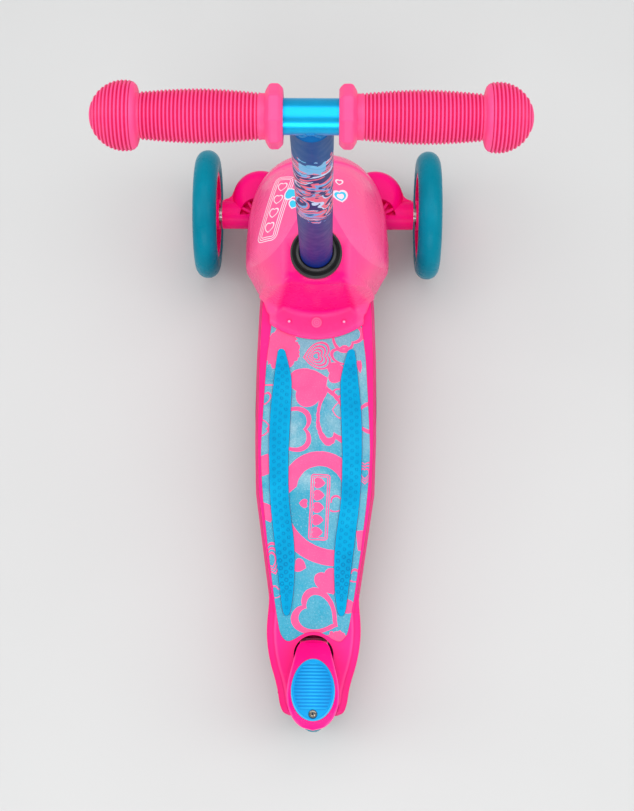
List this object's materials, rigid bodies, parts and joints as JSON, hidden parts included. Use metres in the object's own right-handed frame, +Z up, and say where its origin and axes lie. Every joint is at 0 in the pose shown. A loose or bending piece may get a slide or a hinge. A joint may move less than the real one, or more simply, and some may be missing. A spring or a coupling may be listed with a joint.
{
  "type": "kick scooter",
  "caption": "Toddler kick scooter with a leaning front axle, printed deck, domed front cover, raked stem with ribbed ball-end grips and a foot brake over the rear wheel.",
  "frame": {"origin": "on the ground, under the middle of the bounding box, all tyres standing on z = 0", "axes": "+Z up, +Y forward (direction of travel), +X to the rider's right"},
  "size_m": [0.2708, 0.538, 0.5996],
  "materials": {
    "pink_shell": "glossy",
    "pink_rubber": "satin",
    "printed_mat": "matte",
    "blue_rubber": "matte",
    "teal_tyre": "satin",
    "blue_metallic": "metallic",
    "stem_paint": "metallic",
    "black_plastic": "satin",
    "steel": "satin",
    "zinc": "polished"
  },
  "bodies": {
    "deck": {"deck_shell": "pink_shell", "nose_frame": "pink_shell", "grip_mat": "printed_mat", "strip_left": "blue_rubber", "strip_right": "blue_rubber", "front_cover": "pink_shell", "cover_screws": "pink_shell", "cover_disc": "pink_shell", "stem_collar": "black_plastic", "stem_tube": "stem_paint", "stem_plug": "black_plastic", "stem_bolt": "zinc", "handlebar": "blue_metallic", "grip_left": "pink_rubber", "grip_right": "pink_rubber", "kingpin": "zinc", "kingpin_nut": "zinc", "spring_left": "steel", "spring_right": "steel", "rear_bolt": "zinc", "rear_nut": "zinc", "rear_spacers": "steel", "brake_pin": "steel"},
    "truck": {"truck": "pink_shell", "bush_upper": "black_plastic", "bush_lower": "black_plastic", "front_bolts": "zinc", "front_spacers": "steel"},
    "wheel_front_left": {"tyre_left": "teal_tyre", "hub_left": "pink_shell", "bearings_left": "steel"},
    "wheel_front_right": {"tyre_right": "teal_tyre", "hub_right": "pink_shell", "bearings_right": "steel"},
    "wheel_rear": {"tyre_rear": "teal_tyre", "hub_rear": "pink_shell", "bearings_rear": "steel"},
    "brake": {"brake_fender": "pink_shell", "brake_pad": "blue_rubber", "brake_screw": "zinc", "brake_shoe": "steel", "brake_spring": "steel"}
  },
  "joints": [
    {"name": "lean_steer", "type": "hinge", "parent": "deck", "child": "truck", "pos_m": [0, 0.209, 0.06], "axis": [0, 0.6428, 0.766], "range_deg": [-10, 10], "stiffness_Nm_per_rad": 12, "deforming": ["spring_left", "spring_right"]},
    {"name": "front_left_spin", "type": "hinge", "parent": "truck", "child": "wheel_front_left", "pos_m": [-0.1034, 0.209, 0.06], "axis": [1, 0, 0], "continuous": true},
    {"name": "front_right_spin", "type": "hinge", "parent": "truck", "child": "wheel_front_right", "pos_m": [0.1034, 0.209, 0.06], "axis": [1, 0, 0], "continuous": true},
    {"name": "rear_spin", "type": "hinge", "parent": "deck", "child": "wheel_rear", "pos_m": [0, -0.229, 0.04], "axis": [1, 0, 0], "continuous": true},
    {"name": "brake_press", "type": "hinge", "parent": "deck", "child": "brake", "pos_m": [0, -0.183, 0.058], "axis": [1, 0, 0], "range_deg": [0, 4.5], "stiffness_Nm_per_rad": 2, "springref_deg": -11.46}
  ]
}
